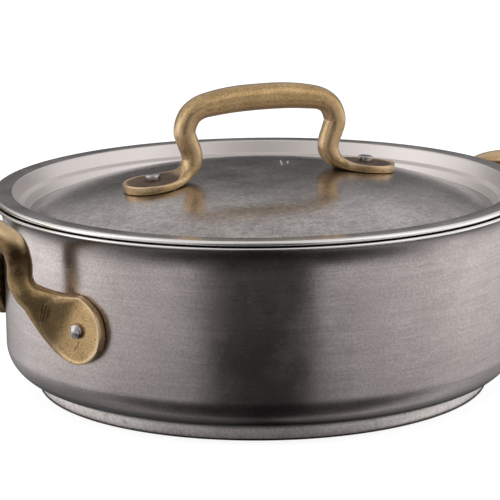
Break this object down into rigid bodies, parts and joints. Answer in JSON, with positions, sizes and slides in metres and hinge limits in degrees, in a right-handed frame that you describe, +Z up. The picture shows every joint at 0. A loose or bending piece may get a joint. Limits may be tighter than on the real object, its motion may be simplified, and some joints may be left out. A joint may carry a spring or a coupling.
{
  "type": "lidded pot",
  "caption": "Low round stainless steel pot with a thick bonded base, a domed drop-in lid and cast brass loop handles held by steel rivets.",
  "frame": {"origin": "on the pot's axis, at the underside of the base", "axes": "+Z up along the pot's axis, +X through the middle of one side handle, +Y along the side handles' grips"},
  "size_m": [0.3036, 0.254, 0.1407],
  "materials": {
    "steel": "satin, lightly worn",
    "base_alloy": "matt, pressed",
    "brass": "aged sand cast brass with polished edges",
    "rivet_steel": "bright"
  },
  "bodies": {
    "pot": {"pot_body": "steel", "base_core": "base_alloy", "base_plate": "steel", "side_handle_right": "brass", "side_handle_left": "brass", "side_rivet_right_a": "rivet_steel", "side_rivet_right_b": "rivet_steel", "side_rivet_left_a": "rivet_steel", "side_rivet_left_b": "rivet_steel"},
    "lid": {"lid_plate": "steel", "lid_handle": "brass", "lid_rivet_right": "rivet_steel", "lid_rivet_left": "rivet_steel"}
  },
  "joints": [
    {"name": "lid_lift", "type": "slide", "parent": "pot", "child": "lid", "axis": [0, 0, 1], "range_m": [0, 0.12]}
  ]
}
